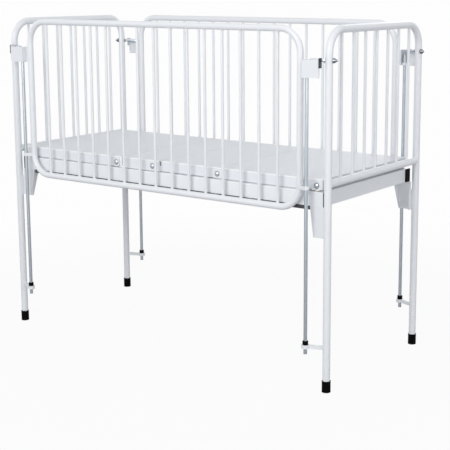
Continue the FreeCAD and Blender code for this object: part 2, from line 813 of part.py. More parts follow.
def prop_bow(x, way):
    """Two arms and the cross bar that stands in the combs, lying flat at rest."""
    bar_x = x + way * prop_length
    reach = frame_half_width - frame_tube_width - 0.5
    bar = rod(prop_r, V(bar_x, -reach, pivot_z), V(bar_x, reach, pivot_z))
    pieces = [bar]
    for side in (FRONT, BACK):
        y = side * prop_arm_y
        pieces.append(rod(prop_arm_dia / 2, V(x, y, pivot_z), V(bar_x, y, pivot_z)))
        pieces.append(rod(prop_eye_radius, V(x, y - prop_eye_width / 2, pivot_z),
                          V(x, y + prop_eye_width / 2, pivot_z)))
    return fuse(pieces).cut(hinge_hole(x, prop_pin_dia / 2 + bolt_running_gap))


def comb(side, pivot_x, way, angle_max, stages):
    """Notched plate inside a side tube, under the path of a bow's cross bar."""
    top = pivot_z - prop_r - comb_gap
    far = pivot_x + way * 2 * prop_length
    near = pivot_x + way * 2 * prop_length * math.cos(math.radians(angle_max))
    x0, x1 = sorted((far, near))
    inner = side * (frame_half_width - frame_tube_width)
    x0, x1 = x0 - comb_margin, x1 + comb_margin
    plate = box(x0, x1, inner, inner - side * comb_thickness, top - comb_depth, top)
    for i in range(stages):
        angle = angle_max * (i + 1) / stages
        x = pivot_x + way * 2 * prop_length * math.cos(math.radians(angle))
        z = top - comb_notch_depth + comb_notch_radius
        notch = rod(comb_notch_radius, V(x, inner + side, z), V(x, inner - side * 2 * comb_thickness, z))
        plate = plate.cut(notch)
    return plate


def rest_pads(x, lip_half_width):
    """Rubber pads on the side tubes under a tray's lips."""
    pads = []
    for side in (FRONT, BACK):
        y1 = side * (lip_half_width - skirt_lip / 2)
        pads.append(box(x - rest_pad_length / 2, x + rest_pad_length / 2, y1, y1 - side * rest_pad_width,
                        frame_top_z, skirt_bottom_z - rest_pad_gap))
    return pads


def build():
    """All nodes by name."""
    nodes = {}
    for end_name, end in ENDS.items():
        nodes[end_name + "_end_frame"] = end_frame(end)
        nodes[end_name + "_end_cross_tube"] = end_cross_tube(end)
        nodes[end_name + "_end_bars"] = end_bars(end)
        nodes[end_name + "_frame_end_member"] = end_member(end)
        for side_name, side in SIDES.items():
            corner = side_name + "_" + end_name
            nodes[corner + "_foot_cap"] = foot_cap(end, side)
            nodes[corner + "_guide_rod"] = guide_rod(end, side)
            nodes[corner + "_rod_lug"] = rod_lug(end, side)
            nodes[corner + "_corner_bracket"] = corner_bracket(end, side)
            nodes[corner + "_latch_plate"] = latch_plate(end, side)
    corners = [(end, side) for end in ENDS.values() for side in SIDES.values()]
    nodes["rod_cone_nuts"] = Part.makeCompound([cone_nut(*c) for c in corners])
    nodes["rod_jam_nuts"] = Part.makeCompound([jam_nut(*c) for c in corners])
    nodes["rod_bumpers"] = Part.makeCompound([bumper(*c) for c in corners])
    nodes["side_tube_caps"] = Part.makeCompound([end_cap(*c) for c in corners])
    for side_name, side in SIDES.items():
        nodes[side_name + "_side_tube"] = side_tube(side)
        nodes[side_name + "_rail_loop"] = rail_loop(side)
        nodes[side_name + "_rail_bars"] = rail_bars(side)
        nodes[side_name + "_rail_collars"] = Part.makeCompound(
            [collar(end, side, collar_bottom_z, collar_height) for end in ENDS.values()])
    nodes["back_prop_combs"] = Part.makeCompound(
        [comb(side, back_pivot_x, LEFT, back_tilt_degrees, back_stages) for side in SIDES.values()])
    nodes["knee_prop_combs"] = Part.makeCompound(
        [comb(side, thigh_pivot_x, RIGHT, knee_tilt_degrees, knee_stages) for side in SIDES.values()])
    nodes["frame_crossbars"] = crossbars()
    nodes["side_tube_runners"] = runners()
    nodes["back_section_tray"] = back_tray()
    nodes["seat_section_tray"] = seat_tray()
    nodes["thigh_section_tray"] = thigh_tray()
    nodes["calf_section_tray"] = calf_tray()
    nodes["back_hinge_bolts"] = hinge_bolts(
        back_pivot_x, back_half_width, seat_half_width - deck_sheet, bolt_head_gap, 0)
    nodes["thigh_hinge_bolts"] = hinge_bolts(
        thigh_pivot_x, seat_half_width, thigh_half_width - deck_sheet, 0, bolt_head_gap)
    nodes["knee_hinge_bolts"] = hinge_bolts(
        knee_pivot_x, calf_half_width, thigh_half_width - deck_sheet, bolt_head_gap, 0)
    nodes["calf_end_bolts"] = hinge_bolts(
        calf_bolt_x, calf_half_width, calf_half_width - deck_sheet - glide_width, 0, 0)
    nodes["calf_glides"] = calf_glides()
    back_prop_x = back_pivot_x - prop_length
    knee_prop_x = thigh_pivot_x + prop_length
    nodes["back_prop_channel"] = stiffener(back_prop_x, back_half_width)
    nodes["back_prop_pins"] = prop_pins(back_prop_x)
    nodes["back_prop_bow"] = prop_bow(back_prop_x, LEFT)
    nodes["knee_prop_channel"] = stiffener(knee_prop_x, thigh_half_width)
    nodes["knee_prop_pins"] = prop_pins(knee_prop_x)
    nodes["knee_prop_bow"] = prop_bow(knee_prop_x, RIGHT)
    nodes["deck_rest_pads"] = Part.makeCompound(
        rest_pads(back_pad_x, back_half_width) + rest_pads(knee_pad_x, thigh_half_width))
    return nodes


os.makedirs("parts", exist_ok=True)
all_nodes = build()
triangles = 0
for name, shape in all_nodes.items():
    shape.exportStep(os.path.join("parts", name + ".step"))
    facets = len(shape.tessellate(0.5)[1])
    triangles += facets
    print(name, "solids", len(shape.Solids), "valid", shape.isValid(),
          "volume", round(shape.Volume), "facets", facets)
print("nodes", len(all_nodes), "triangles", triangles)
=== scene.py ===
"""Visual model of a child's ward bed, dressed over its CAD frame.

Each sub-assembly of the bed is a class that dresses its CAD nodes and builds the weld
beads and small fittings that the CAD model leaves out. All lengths are in metres.
"""
from __future__ import annotations

import json
import logging
import math
from dataclasses import dataclass, field
from enum import Enum
from typing import Any, Sequence

import bmesh
import bpy
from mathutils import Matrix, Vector

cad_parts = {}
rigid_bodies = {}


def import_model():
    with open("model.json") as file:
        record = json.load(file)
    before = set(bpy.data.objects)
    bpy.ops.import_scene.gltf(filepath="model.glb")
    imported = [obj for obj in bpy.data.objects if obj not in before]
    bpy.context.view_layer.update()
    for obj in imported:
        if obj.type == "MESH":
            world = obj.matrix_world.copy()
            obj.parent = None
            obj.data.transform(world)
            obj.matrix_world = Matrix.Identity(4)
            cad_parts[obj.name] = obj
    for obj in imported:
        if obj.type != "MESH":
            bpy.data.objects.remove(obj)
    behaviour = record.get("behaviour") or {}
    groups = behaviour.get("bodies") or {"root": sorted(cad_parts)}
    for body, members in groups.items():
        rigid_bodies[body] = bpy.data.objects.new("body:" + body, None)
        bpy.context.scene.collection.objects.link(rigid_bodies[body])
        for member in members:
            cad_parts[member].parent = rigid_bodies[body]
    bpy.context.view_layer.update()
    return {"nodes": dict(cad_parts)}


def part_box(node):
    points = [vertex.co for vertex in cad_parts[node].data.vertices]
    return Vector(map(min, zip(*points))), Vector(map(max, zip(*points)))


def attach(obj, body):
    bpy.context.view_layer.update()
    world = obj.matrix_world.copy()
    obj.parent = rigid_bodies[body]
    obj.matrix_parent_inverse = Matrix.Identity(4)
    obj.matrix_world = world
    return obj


LOG = logging.getLogger("ward_bed")
Colour = tuple[float, float, float]
Place = tuple[float, float, float]
Nodes = dict[str, bpy.types.Object]
Span = tuple[float, float]
MM = 0.001
LENGTHWISE = Vector((1.0, 0.0, 0.0))
ACROSS = Vector((0.0, 1.0, 0.0))
UP = Vector((0.0, 0.0, 1.0))


class End(Enum):
    """The two ends of the bed, named by the side of the middle that they lie on."""

    HEAD = "left"
    FOOT = "right"

    @property
    def sign(self) -> int:
        """Sign of the end's X."""
        return 1 if self is End.FOOT else -1


class Side(Enum):
    """The two long sides of the bed."""

    FRONT = "front"
    BACK = "back"

    @property
    def sign(self) -> int:
        """Sign of the side's Y."""
        return 1 if self is Side.BACK else -1


class Value:
    """A shader socket that takes part in plain arithmetic."""

    def __init__(self, graph: Graph, source: Any) -> None:
        """Wraps an output socket.

        Args:
            graph: The graph that gets the Math nodes.
            source: The socket, or None where a node has no output.
        """
        self.graph = graph
        self.source = source

    def _math(self, operation: str, first: Any, second: Any) -> Value:
        """Adds one Math node.

        Args:
            operation: The node's operation.
            first: Left operand.
            second: Right operand.

        Returns:
            The node's result.
        """
        return self.graph.add("ShaderNodeMath", {"operation": operation}, {0: first, 1: second})

    def __add__(self, other: Any) -> Value:
        """Sum."""
        return self._math("ADD", self, other)

    __radd__ = __add__

    def __sub__(self, other: Any) -> Value:
        """Difference."""
        return self._math("SUBTRACT", self, other)

    def __rsub__(self, other: Any) -> Value:
        """Difference with the socket on the right."""
        return self._math("SUBTRACT", other, self)

    def __mul__(self, other: Any) -> Value:
        """Product."""
        return self._math("MULTIPLY", self, other)

    __rmul__ = __mul__

    def larger(self, other: Any) -> Value:
        """The larger of the two."""
        return self._math("MAXIMUM", self, other)


class Graph:
    """The node tree of one material or of the world."""

    def __init__(self, owner: bpy.types.Material | bpy.types.World) -> None:
        """Empties the owner's node tree.

        Args:
            owner: A new material or world.
        """
        owner.use_nodes = True
        self.owner = owner
        self.tree = owner.node_tree
        self.tree.nodes.clear()

    def add(
        self, kind: str, settings: dict[str, Any], inputs: dict[Any, Any], output: Any = 0
    ) -> Value:
        """Adds one node, sets it and links it.

        Args:
            kind: The node's type name.
            settings: Properties that are set first. A ramp takes its stops as "stops".
            inputs: Socket name or number to a number, tuple or Value.
            output: Name or number of the socket that is returned.

        Returns:
            The chosen output as a Value.
        """
        node = self.tree.nodes.new(kind)
        for key, setting in settings.items():
            if key == "stops":
                self._set_stops(node.color_ramp, setting)
            else:
                setattr(node, key, setting)
        for key, given in inputs.items():
            if isinstance(given, Value):
                self.tree.links.new(given.source, node.inputs[key])
            else:
                node.inputs[key].default_value = given
        return Value(self, node.outputs[output] if node.outputs else None)

    @staticmethod
    def _set_stops(ramp: Any, stops: Sequence[Span]) -> None:
        """Sets a grey ramp's stops.

        Args:
            ramp: The colour ramp.
            stops: Position and grey level of each stop.
        """
        while len(ramp.elements) < len(stops):
            ramp.elements.new(0.5)
        for element, (position, level) in zip(ramp.elements, stops):
            element.position = position
            element.color = (level, level, level, 1.0)

    def place(self, stretch: Place = (1.0, 1.0, 1.0)) -> Value:
        """Position on the bed, stretched for streaks.

        Args:
            stretch: Factor on each axis.

        Returns:
            The position as a vector.
        """
        coords = self.add("ShaderNodeTexCoord", {}, {}, "Object")
        return self.add("ShaderNodeMapping", {}, {"Vector": coords, "Scale": stretch})

    def axis(self, where: Value, name: str) -> Value:
        """One coordinate of a position."""
        return self.add("ShaderNodeSeparateXYZ", {}, {"Vector": where}, name)

    def noise(self, where: Value, scale: float, detail: float = 2.0, roughness: float = 0.5) -> Value:
        """Fractal noise.

        Args:
            where: Position.
            scale: Waves per metre.
            detail: Octaves.
            roughness: Strength of the small octaves.

        Returns:
            The noise from 0 to 1.
        """
        inputs = {"Vector": where, "Scale": scale, "Detail": detail, "Roughness": roughness}
        return self.add("ShaderNodeTexNoise", {}, inputs, "Fac")

    def ramp(self, level: Value, stops: Sequence[Span]) -> Value:
        """Grey ramp of a level."""
        return self.add("ShaderNodeValToRGB", {"stops": stops}, {"Fac": level})

    def blend(self, factor: Any, first: Any, second: Any) -> Value:
        """Colour mix.

        Args:
            factor: Share of the second colour.
            first: Colour at 0.
            second: Colour at 1.

        Returns:
            The mixed colour.
        """
        inputs = {"Factor": factor, 6: rgba(first), 7: rgba(second)}
        return self.add("ShaderNodeMix", {"data_type": "RGBA"}, inputs, 2)

    def bump(self, height: Value, strength: float, distance: float) -> Value:
        """Bumped normal.

        Args:
            height: Height from 0 to 1.
            strength: Strength of the bump.
            distance: Depth in metres.

        Returns:
            The normal.
        """
        inputs = {"Height": height, "Strength": strength, "Distance": distance}
        return self.add("ShaderNodeBump", {}, inputs)

    def glow(self, kind: str, colour: Colour, strength: float) -> Value:
        """Background or emission shader of one colour."""
        return self.add(kind, {}, {"Color": rgba(colour), "Strength": strength})

    def finish(self, **sockets: Any) -> bpy.types.Material:
        """Ends the tree in a Principled BSDF.

        Args:
            sockets: Socket names with underscores for spaces.

        Returns:
            The material.
        """
        inputs = {key.replace("_", " "): value for key, value in sockets.items()}
        shader = self.add("ShaderNodeBsdfPrincipled", {}, inputs)
        self.add("ShaderNodeOutputMaterial", {}, {"Surface": shader})
        return self.owner


def rgba(colour: Any) -> Any:
    """Colour with an alpha of 1, or a Value as it is."""
    return colour if isinstance(colour, Value) else (*colour, 1.0)


def darker(colour: Colour, share: float) -> Colour:
    """A colour with each channel taken down to a share of itself."""
    red, green, blue = colour
    return red * share, green * share, blue * share


@dataclass(frozen=True)
class Finish:
    """A named surface finish tied to one of the record's material slots."""

    name: str
    slot: str
    colour: Colour

    def material(self) -> bpy.types.Material:
        """The finish's material, built on first use."""
        known = bpy.data.materials.get(self.name)
        return known if known else self.build(Graph(bpy.data.materials.new(self.name)))

    def build(self, graph: Graph) -> bpy.types.Material:
        """Builds the nodes.

        Args:
            graph: Empty graph of the material.

        Returns:
            The material.
        """
        return graph.finish(Base_Color=rgba(self.colour))


@dataclass(frozen=True)
class PowderCoat(Finish):
    """Baked powder paint with its orange peel, faint scuffs and settled dust, and a painted highlight
    along any given edges.
    """

    gloss_roughness: float = 0.3
    cloud_waves: float = 3.0
    cloud_shade: float = 0.965
    peel_waves: float = 420.0
    peel_depth: float = 0.05 * MM
    peel_strength: float = 0.35
    fine_roughness: float = 0.06
    scuff_colour: Colour = (0.6, 0.6, 0.59)
    scuff_share: float = 0.08
    scuff_waves: float = 9.0
    scuff_stretch: Place = (3.0, 3.0, 40.0)
    scuff_roughness: float = 0.18
    dust_height: float = 220.0 * MM
    dust_waves: float = 60.0
    dust_share: float = 0.1
    dust_roughness: float = 0.2
    lacquer: float = 0.15
    # Painted highlight: each of these edges (distance from the bed's middle, bottom and top) gets a
    # band lightened towards the highlight colour.
    edges: tuple[Place, ...] = ()
    highlight_colour: Colour = (0.97, 0.975, 0.985)
    highlight_sharpness: float = 500.0

    def build(self, graph: Graph) -> bpy.types.Material:
        """Builds the nodes.

        Args:
            graph: Empty graph of the material.

        Returns:
            The material.
        """
        where = graph.place()
        cloud = graph.noise(where, self.cloud_waves, 3.0)
        peel = graph.noise(where, self.peel_waves, 2.0, 0.4)
        fine = graph.noise(where, self.peel_waves * 4.0, 2.0)
        streaks = graph.noise(graph.place(self.scuff_stretch), self.scuff_waves, 4.0, 0.7)
        patches = graph.ramp(cloud, ((0.45, 0.0), (0.6, 1.0)))
        scuffs = graph.ramp(streaks, ((0.66, 0.0), (0.78, 1.0))) * patches
        low = graph.ramp(graph.axis(where, "Z"), ((0.0, 1.0), (self.dust_height, 0.0)))
        specks = graph.noise(where, self.dust_waves, 4.0, 0.7)
        dust = low * graph.ramp(specks, ((0.4, 0.0), (0.7, 1.0)))
        tone = graph.blend(cloud, self.colour, darker(self.colour, self.cloud_shade))
        # Painted highlight along the given edges.
        tone = self.painted_edge_highlight(graph, where, tone)
        soiled = scuffs * self.scuff_share + dust * self.dust_share
        tone = graph.blend(soiled, tone, self.scuff_colour)
        rough = self.gloss_roughness + scuffs * self.scuff_roughness
        rough = rough + dust * self.dust_roughness + (fine - 0.5) * self.fine_roughness
        normal = graph.bump(peel, self.peel_strength, self.peel_depth)
        return graph.finish(
            Base_Color=tone, Roughness=rough, Normal=normal, IOR=1.5, Coat_Weight=self.lacquer,
            Coat_Roughness=0.12)

    def painted_edge_highlight(self, graph: Graph, where: Value, tone: Value) -> Value:
        """Paints a highlight along the given edges by lightening the coat's colour there.

        Args:
            graph: The material's graph.
            where: Position.
            tone: The coat's colour.

        Returns:
            The colour with the painted edge highlight.
        """
        if not self.edges:
            return tone
        across = graph.axis(where, "Y")
        side = graph.add("ShaderNodeMath", {"operation": "ABSOLUTE"}, {0: across})
        height = graph.axis(where, "Z")
        share: Any = 0.0
        for reach, low, high in self.edges:
            above = graph.ramp((height - low) * self.highlight_sharpness, ((0.0, 0.0), (0.4, 1.0)))
            below = graph.ramp((high - height) * self.highlight_sharpness, ((0.0, 0.0), (0.4, 1.0)))
            outward = graph.ramp((side - reach) * self.highlight_sharpness, ((0.0, 0.0), (0.6, 1.0)))
            share = above * below * outward + share
        return graph.blend(share, tone, self.highlight_colour)


@dataclass(frozen=True)
class ZincPlate(Finish):
    """Plated steel, brushed along one axis, with dull bloom where the plating has aged."""

    roughness: float = 0.34
    drawn: Place = (60.0, 60.0, 2.5)
    drawn_waves: float = 14.0
    drawn_depth: float = 0.04 * MM
    line_shade: float = 0.9
    line_share: float = 0.25
    line_roughness: float = 0.18
    bloom_waves: float = 26.0
    bloom_share: float = 0.5
    bloom_shade: float = 0.78
    bloom_roughness: float = 0.08

    def build(self, graph: Graph) -> bpy.types.Material:
        """Builds the nodes.

        Args:
            graph: Empty graph of the material.

        Returns:
            The material.
        """
        lines = graph.noise(graph.place(self.drawn), self.drawn_waves, 4.0, 0.65)
        cloud = graph.noise(graph.place(), self.bloom_waves, 3.0, 0.6)
        bloom = graph.ramp(cloud, ((0.4, 0.0), (0.7, 1.0)))
        dull = darker(self.colour, self.bloom_shade)
        tone = graph.blend(bloom * self.bloom_share, self.colour, dull)
        lined = (lines - 0.3) * self.line_share
        tone = graph.blend(lined, tone, darker(self.colour, self.line_shade))
        rough = self.roughness + (lines - 0.5) * self.line_roughness
        rough = rough + bloom * self.bloom_roughness
        normal = graph.bump(lines, 0.25, self.drawn_depth)
        return graph.finish(Base_Color=tone, Metallic=1.0, Roughness=rough, Normal=normal)


@dataclass(frozen=True)
class Moulded(Finish):
    """Moulded rubber or plastic with a fine grain and chalky worn spots."""

    roughness: float = 0.5
    grain_waves: float = 1400.0
    grain_depth: float = 0.04 * MM
    grain_roughness: float = 0.12
    wear_waves: float = 55.0
    wear_colour: Colour = (0.05, 0.05, 0.05)
    wear_share: float = 0.2
    wear_roughness: float = 0.2
    shine: float = 0.15

    def build(self, graph: Graph) -> bpy.types.Material:
        """Builds the nodes.

        Args:
            graph: Empty graph of the material.

        Returns:
            The material.
        """
        where = graph.place()
        grain = graph.noise(where, self.grain_waves, 2.0)
        cloud = graph.noise(where, self.wear_waves, 4.0, 0.65)
        worn = graph.ramp(cloud, ((0.5, 0.0), (0.75, 1.0))) * self.wear_share
        tone = graph.blend(worn, self.colour, self.wear_colour)
        rough = self.roughness + (grain - 0.5) * self.grain_roughness
        rough = rough + worn * self.wear_roughness
        normal = graph.bump(grain, 0.3, self.grain_depth)
        return graph.finish(
            Base_Color=tone, Roughness=rough, Normal=normal, IOR=1.48,
            Specular_IOR_Level=self.shine)


FINE_DRAWN = (20.0, 20.0, 20.0)
WHITE_COAT = PowderCoat("white powder coat", "white_coat", (0.85, 0.868, 0.895))
# The side tubes' white coat, painted lighter than WHITE_COAT to offset the rails' shade on them, with
# a painted highlight along their top edge.
LIT_TUBE_COAT = PowderCoat(
    "side tube coat with painted light", "white_coat", (0.88, 0.897, 0.922),
    edges=((285.5 * MM, 650.5 * MM, 655.6 * MM),))
# Painted shade: the runners under the side tubes carry the white coat, darkened here to near black
# for the shade under the tubes.
RUNNER_PAINTED_SHADE = PowderCoat(
    "runner coat with painted shade", "white_coat", (0.06, 0.063, 0.067), gloss_roughness=0.5)
# The deck's own coat, with a painted highlight along the trays' top edges.
DECK_COAT = PowderCoat(
    "deck powder coat", "deck_coat", (0.84, 0.864, 0.896), gloss_roughness=0.5,
    scuff_share=0.12, lacquer=0.0, edges=((278.5 * MM, 690.5 * MM, 696.5 * MM),))
ZINC = ZincPlate("zinc plated rod", "zinc", (0.56, 0.61, 0.66))
PLAIN_ZINC = ZincPlate(
    "zinc plated fitting", "zinc", (0.5, 0.53, 0.57), drawn=FINE_DRAWN)
BOLT_ZINC = ZincPlate(
    "zinc plated bolt", "zinc", (0.68, 0.71, 0.75), roughness=0.24, drawn=FINE_DRAWN)
# Painted reflection: the chrome is given a dark grey colour to stand for the dark surroundings that
# it would reflect.
CAP_NUT_PAINTED_REFLECTION = ZincPlate(
    "cap nut with painted dark reflection", "nut_chrome", (0.27, 0.28, 0.3), roughness=0.13, drawn=FINE_DRAWN,
    bloom_share=0.2)
# Black rubber of the caps, rims, bumpers and rest pads; the same black paints the shadow line round
# the back section's ears.
BLACK_RUBBER_AND_SHADE = Moulded(
    "black rubber and painted shade", "black_rubber", (0.002, 0.002, 0.0025), wear_colour=(0.014, 0.014, 0.015),
    shine=0.06)
BLACK_PLASTIC = Moulded(
    "black plastic", "black_plastic", (0.003, 0.003, 0.0035), roughness=0.45,
    wear_colour=(0.02, 0.02, 0.02), wear_share=0.1, shine=0.08)
# Grey plastic of the latch pads; the same grey paints shade as the seat's shadow strips and the rings
# under the bolt heads.
GREY_PAD_AND_SHADE = Moulded(
    "grey pad plastic and painted shade", "black_plastic", (0.12, 0.13, 0.14), roughness=0.45,
    wear_colour=(0.25, 0.26, 0.28))
NYLON = Moulded(
    "natural nylon", "nylon", (0.78, 0.77, 0.72), roughness=0.42,
    wear_colour=(0.5, 0.49, 0.45), wear_share=0.3, shine=0.5)
WHITE_NYLON = Moulded(
    "white nylon", "nylon", (0.7, 0.72, 0.75), roughness=0.42, wear_colour=(0.5, 0.51, 0.53),
    shine=0.5)


def paint(nodes: Nodes, names: Sequence[str], finish: Finish) -> None:
    """Gives CAD nodes a finish.

    Args:
        nodes: All CAD nodes by name.
        names: The nodes to dress.
        finish: Their finish.
    """
    for name in names:
        materials = nodes[name].data.materials
        materials.clear()
        materials.append(finish.material())
        LOG.info("%s: %s", name, finish.name)


def full_circle(steps: int) -> list[float]:
    """Angles of a full circle, evenly spaced."""
    return [2 * math.pi * i / steps for i in range(steps)]


def box_corners(
    mesh: bmesh.types.BMesh, first: Sequence[float], second: Sequence[float]
) -> None:
    """Adds a box between two corners.

    Args:
        mesh: The mesh that gets it.
        first: One corner.
        second: The opposite corner.
    """
    middle = (Vector(first) + Vector(second)) / 2
    size = Vector(second) - Vector(first)
    made = bmesh.ops.create_cube(mesh, size=1.0)
    for vert in made["verts"]:
        vert.co = middle + Vector(side * length for side, length in zip(vert.co, size))


def soften_edges(mesh: bmesh.types.BMesh, offset: float, segments: int) -> None:
    """Rounds every edge of a mesh."""
    bmesh.ops.bevel(
        mesh, geom=mesh.edges[:], offset=offset, segments=segments, profile=0.5,
        affect="EDGES")


def add_piece(
    name: str, mesh: bmesh.types.BMesh, body: str, finish: Finish
) -> bpy.types.Object:
    """Turns a bmesh into a piece that rides on a body.

    Args:
        name: The piece's name.
        mesh: Its geometry in the row frame. It is freed.
        body: The CAD body that it rides on.
        finish: Its finish.

    Returns:
        The new object.
    """
    data = bpy.data.meshes.new(name)
    bmesh.ops.recalc_face_normals(mesh, faces=mesh.faces)
    mesh.to_mesh(data)
    mesh.free()
    data.polygons.foreach_set("use_smooth", [True] * len(data.polygons))
    obj = bpy.data.objects.new(name, data)
    bpy.context.scene.collection.objects.link(obj)
    data.materials.append(finish.material())
    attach(obj, body)
    LOG.info("%s: %d faces on %s", name, len(data.polygons), body)
    return obj


@dataclass
class WeldBeads:
    """Weld beads, or rims, painted shadow rings and painted shadow lines of round section, that share
    one mesh.
    """

    name: str
    body: str
    finish: Finish
    radius: float = 1.5 * MM
    ripple: float = 0.12
    ripple_length: float = 2.6 * MM
    step: float = 2.2 * MM
    around: int = 7
    tip_share: float = 0.35
    lift: float = 0.4 * MM
    web_steps: int = 5
    mesh: bmesh.types.BMesh = field(default_factory=bmesh.new)

    def sweep(self, path: Sequence[Vector], closed: bool) -> None:
        """Adds one bead along a path.

        Args:
            path: Points along the weld.
            closed: True where the weld goes all round.
        """
        count = len(path)
        travelled = 0.0
        rings = []
        for i, point in enumerate(path):
            before = path[i - 1] if closed or i else point
            after = path[(i + 1) % count] if closed or i < count - 1 else point
            turn = (after - before).normalized().to_track_quat("Z", "Y")
            travelled += (point - before).length
            swell = 1.0 + self.ripple * math.sin(2 * math.pi * travelled / self.ripple_length)
            from_tip = count if closed else min(i, count - 1 - i)
            taper = min(1.0, self.tip_share + (1 - self.tip_share) * from_tip)
            ring = []
            for angle in full_circle(self.around):
                offset = turn @ Vector((math.cos(angle), math.sin(angle), 0.0))
                ring.append(self.mesh.verts.new(point + offset * self.radius * swell * taper))
            rings.append(ring)
        for i in range(count if closed else count - 1):
            here, there = rings[i], rings[(i + 1) % count]
            for k in range(self.around):
                j = (k + 1) % self.around
                self.mesh.faces.new((here[k], here[j], there[j], there[k]))
        if not closed:
            self.mesh.faces.new(rings[0])
            self.mesh.faces.new(rings[-1])

    def arc(
        self, centre: Vector, right: Vector, up: Vector, radius: float,
        turns: Sequence[float], closed: bool
    ) -> None:
        """Adds a bead along a circle or an arc.

        Args:
            centre: The circle's centre.
            right: Unit vector to the angle 0.
            up: Unit vector to a quarter turn.
            radius: The circle's radius.
            turns: Angles of the points.
            closed: True for a full circle.
        """
        self.sweep(
            [centre + (right * math.cos(turn) + up * math.sin(turn)) * radius for turn in turns],
            closed)

    def saddle(
        self, centre: Vector, bar: Vector, tube: Vector, bar_r: float, tube_r: float,
        steps: int = 20
    ) -> None:
        """Adds a bead where a round bar ends on a tube.

        Args:
            centre: Point of the tube's axis under the bar.
            bar: Direction of the bar, away from the tube.
            tube: Direction of the tube, square to the bar.
            bar_r: The bar's radius.
            tube_r: The tube's radius.
            steps: Points round the bar.
        """
        across = bar.cross(tube)
        path = []
        for angle in full_circle(steps):
            off = math.sin(angle) * bar_r
            rise = math.sqrt(max(tube_r ** 2 - off ** 2, 0.0))
            path.append(centre + tube * math.cos(angle) * bar_r + across * off + bar * rise)
        self.sweep(path, True)

    def seam(self, *corners: Vector) -> None:
        """Adds a bead through straight runs.

        Args:
            corners: The first point, the corners and the last point.
        """
        path = [corners[0]]
        for start, end in zip(corners, corners[1:]):
            count = max(2, int((end - start).length / self.step))
            path += [start.lerp(end, (i + 1) / count) for i in range(count)]
        self.sweep(path, False)

    def web(
        self, tube: Vector, toward: Vector, tube_r: float, half_width: float, height: float
    ) -> None:
        """Adds a bead round a flat web on an upright tube, from foot to foot over its top.

        Args:
            tube: Point of the tube's upright axis at the web's bottom.
            toward: Point that the web goes to, at the same height.
            tube_r: The tube's radius.
            half_width: Half the web's width.
            height: The web's height.
        """
        way = (toward - tube).normalized()
        across = way.cross(UP)
        reach = math.asin(half_width / tube_r)
        radius = tube_r + self.lift
        half = self.web_steps
        turns = [reach * (1 - i / half) for i in range(2 * half + 1)]
        feet = [tube + (way * math.cos(turn) + across * math.sin(turn)) * radius for turn in turns]
        self.seam(feet[0], *(foot + UP * height for foot in feet), feet[-1])

    def done(self) -> bpy.types.Object:
        """Makes the piece."""
        return add_piece(self.name, self.mesh, self.body, self.finish)


@dataclass
class BarRow:
    """A row of vertical bars between two tubes, read from their CAD node."""

    bars_node: str
    count: int
    bar_radius: float
    tube_radius: float
    low_z: float
    high_z: float
    along: Vector

    def weld(self, beads: WeldBeads) -> None:
        """Adds the beads at both ends of each bar.

        Args:
            beads: The beads that get them.
        """
        low, high = (Vector(corner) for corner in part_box(self.bars_node))
        middle = (low + high) / 2
        reach = (high - low).dot(self.along) / 2 - self.bar_radius
        for i in range(self.count):
            place = middle + self.along * reach * (2 * i / (self.count - 1) - 1)
            foot = Vector((place.x, place.y, self.low_z))
            head = Vector((place.x, place.y, self.high_z))
            beads.saddle(foot, UP, self.along, self.bar_radius, self.tube_radius)
            beads.saddle(head, -UP, self.along, self.bar_radius, self.tube_radius)


@dataclass
class EndFrame:
    """Bent tube end with its cross tube, bars and feet."""

    end: End
    nodes: Nodes
    post_radius: float = 12.5 * MM
    post_half_length: float = 698.0 * MM
    post_half_width: float = 300.0 * MM
    cross_tube_z: float = 684.0 * MM
    bar_count: int = 7
    bar_radius: float = 5.0 * MM
    cap_radius: float = 14.5 * MM
    cap_height: float = 38.0 * MM
    rim_radius: float = 1.1 * MM
    rim_sunk_share: float = 0.6
    rim_proud_share: float = 0.4
    rim_steps: int = 40
    saddle_steps: int = 36

    def build(self) -> None:
        """Dresses the nodes, welds the tubes and rims the foot caps."""
        name = self.end.value
        white = [name + part for part in ("_end_frame", "_end_cross_tube", "_end_bars")]
        paint(self.nodes, white, WHITE_COAT)
        paint(self.nodes, [f"{side.value}_{name}_foot_cap" for side in Side], BLACK_RUBBER_AND_SHADE)
        self.weld()
        self.rim_caps()

    def corner(self, side: Side, z: float) -> Vector:
        """Point of a post's axis."""
        return Vector((self.end.sign * self.post_half_length, side.sign * self.post_half_width, z))

    def weld(self) -> None:
        """Beads of the bars and of the cross tube."""
        beads = WeldBeads(f"{self.end.value}_end_welds", "bed_frame", WHITE_COAT)
        top_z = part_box(f"{self.end.value}_end_frame")[1][2] - self.post_radius
        row = BarRow(
            f"{self.end.value}_end_bars", self.bar_count, self.bar_radius, self.post_radius,
            self.cross_tube_z, top_z, ACROSS)
        row.weld(beads)
        for side in Side:
            post = self.corner(side, self.cross_tube_z)
            inward = -ACROSS * side.sign
            beads.saddle(
                post, inward, UP, self.post_radius, self.post_radius, self.saddle_steps)
        beads.done()

    def rim_caps(self) -> None:
        """Rolled rubber rim round the mouth and the sole of each foot cap."""
        rims = WeldBeads(
            f"{self.end.value}_foot_rims", "bed_frame", BLACK_RUBBER_AND_SHADE, self.rim_radius, 0.0)
        reach = self.cap_radius - self.rim_radius * self.rim_sunk_share
        mouth_z = self.cap_height - self.rim_radius * self.rim_proud_share
        turns = full_circle(self.rim_steps)
        for side in Side:
            for z in (self.rim_radius, mouth_z):
                rims.arc(self.corner(side, z), LENGTHWISE, ACROSS, reach, turns, True)
        rims.done()


